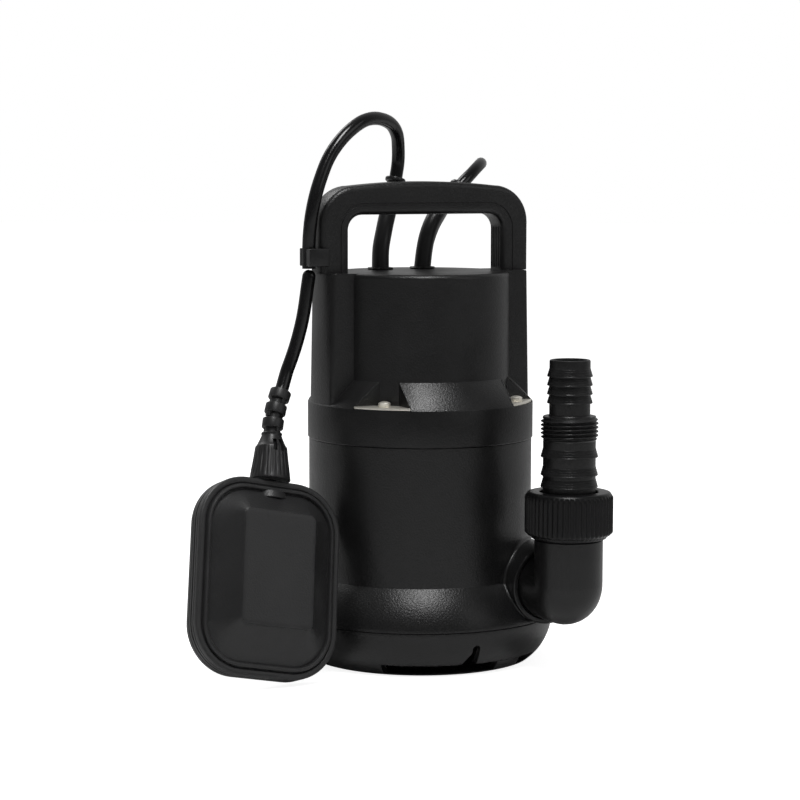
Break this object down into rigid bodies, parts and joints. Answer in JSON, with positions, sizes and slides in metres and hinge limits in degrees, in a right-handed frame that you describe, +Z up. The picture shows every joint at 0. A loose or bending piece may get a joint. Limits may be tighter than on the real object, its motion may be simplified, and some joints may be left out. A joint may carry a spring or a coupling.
{
  "type": "submersible sump pump",
  "caption": "Black submersible sump pump with a carry handle, a tethered float switch, a discharge elbow with a stepped hose adapter, and a coiled power cord.",
  "frame": {"origin": "on the pump's vertical axis, at the floor under the strainer base", "axes": "+Z up, +X along the handle's length away from the cable clip, -Y the side that the discharge port points to"},
  "size_m": [0.2903, 0.3286, 0.3265],
  "materials": {
    "housing_plastic": "fine satin moulding grain",
    "fitting_plastic": "smooth satin moulding",
    "seal_rubber": "matt rubber",
    "cable_rubber": "smooth slightly glossy jacket",
    "bright_steel": "bright zinc plate",
    "bearing_steel": "ground",
    "cast_aluminium": "cast",
    "core_steel": "dark varnished laminations",
    "copper_wire": "enamelled copper",
    "seal_ceramic": "polished ceramic",
    "pale_plastic": "plain moulding",
    "impeller_plastic": "glass-filled plastic",
    "lead_insulation": "smooth insulation",
    "contact_brass": "plain"
  },
  "bodies": {
    "pump": {"strainer_base": "housing_plastic", "base_screws": "bright_steel", "suction_plate": "fitting_plastic", "suction_screws": "bright_steel", "pump_housing": "housing_plastic", "discharge_elbow": "fitting_plastic", "elbow_seal_ring": "seal_rubber", "adapter_gasket": "seal_rubber", "cover_gasket": "seal_rubber", "top_cover": "housing_plastic", "clamp_plates": "bright_steel", "cover_screws": "bright_steel", "handle": "housing_plastic", "handle_screws": "bright_steel", "cable_clip": "housing_plastic", "motor_can": "bearing_steel", "lower_bearing_bracket": "cast_aluminium", "upper_bearing_bracket": "cast_aluminium", "lower_bearing_race": "bearing_steel", "upper_bearing_race": "bearing_steel", "stator_core": "core_steel", "stator_windings": "copper_wire", "seal_seat": "seal_ceramic", "seal_plate": "cast_aluminium", "capacitor": "cast_aluminium", "capacitor_clamp": "bearing_steel", "terminal_block": "pale_plastic", "motor_leads": "lead_insulation", "cable_glands": "fitting_plastic", "power_strain_relief": "cable_rubber", "float_strain_relief": "cable_rubber", "float_cable_upper": "cable_rubber", "power_cord": "cable_rubber", "power_coil": "cable_rubber", "power_cord_tail": "cable_rubber", "cord_tie": "fitting_plastic", "power_plug": "cable_rubber", "plug_blades": "contact_brass"},
    "rotor": {"shaft": "bearing_steel", "rotor_core": "core_steel", "rotor_cage": "cast_aluminium", "impeller": "impeller_plastic", "impeller_nut": "bright_steel", "seal_head": "bearing_steel", "lower_bearing_inner": "bearing_steel", "upper_bearing_inner": "bearing_steel", "bearing_balls": "bright_steel"},
    "adapter": {"hose_adapter": "fitting_plastic"},
    "nut": {"union_nut": "fitting_plastic"},
    "float": {"float_front_shell": "fitting_plastic", "float_rear_shell": "fitting_plastic", "float_gasket": "seal_rubber", "float_boot": "cable_rubber", "float_microswitch": "fitting_plastic", "float_ball_tube": "pale_plastic", "float_counterweight": "core_steel", "float_cable_lower": "cable_rubber"},
    "ball": {"float_ball": "bright_steel"}
  },
  "joints": [
    {"name": "rotor_spin", "type": "hinge", "parent": "pump", "child": "rotor", "pos_m": [0, 0, 0.1], "axis": [0, 0, 1], "continuous": true},
    {"name": "adapter_lift", "type": "slide", "parent": "pump", "child": "adapter", "axis": [0, 0, 1], "range_m": [0, 0.012]},
    {"name": "union_nut_turn", "type": "hinge", "parent": "adapter", "child": "nut", "pos_m": [0.0494, -0.097, 0.095], "axis": [0, 0, 1], "range_deg": [0, 1870]},
    {"name": "float_swing", "type": "hinge", "parent": "pump", "child": "float", "pos_m": [-0.0728, -0.0015, 0.2302], "axis": [0, 1, 0], "range_deg": [0, 85]},
    {"name": "float_ball_roll", "type": "slide", "parent": "float", "child": "ball", "axis": [0.1663, 0.3079, 0.9368], "range_m": [0, 0.014]}
  ],
  "couplings": [
    {"joint": "adapter_lift", "follows": "union_nut_turn", "m_per_rad": 0.00036749}
  ]
}
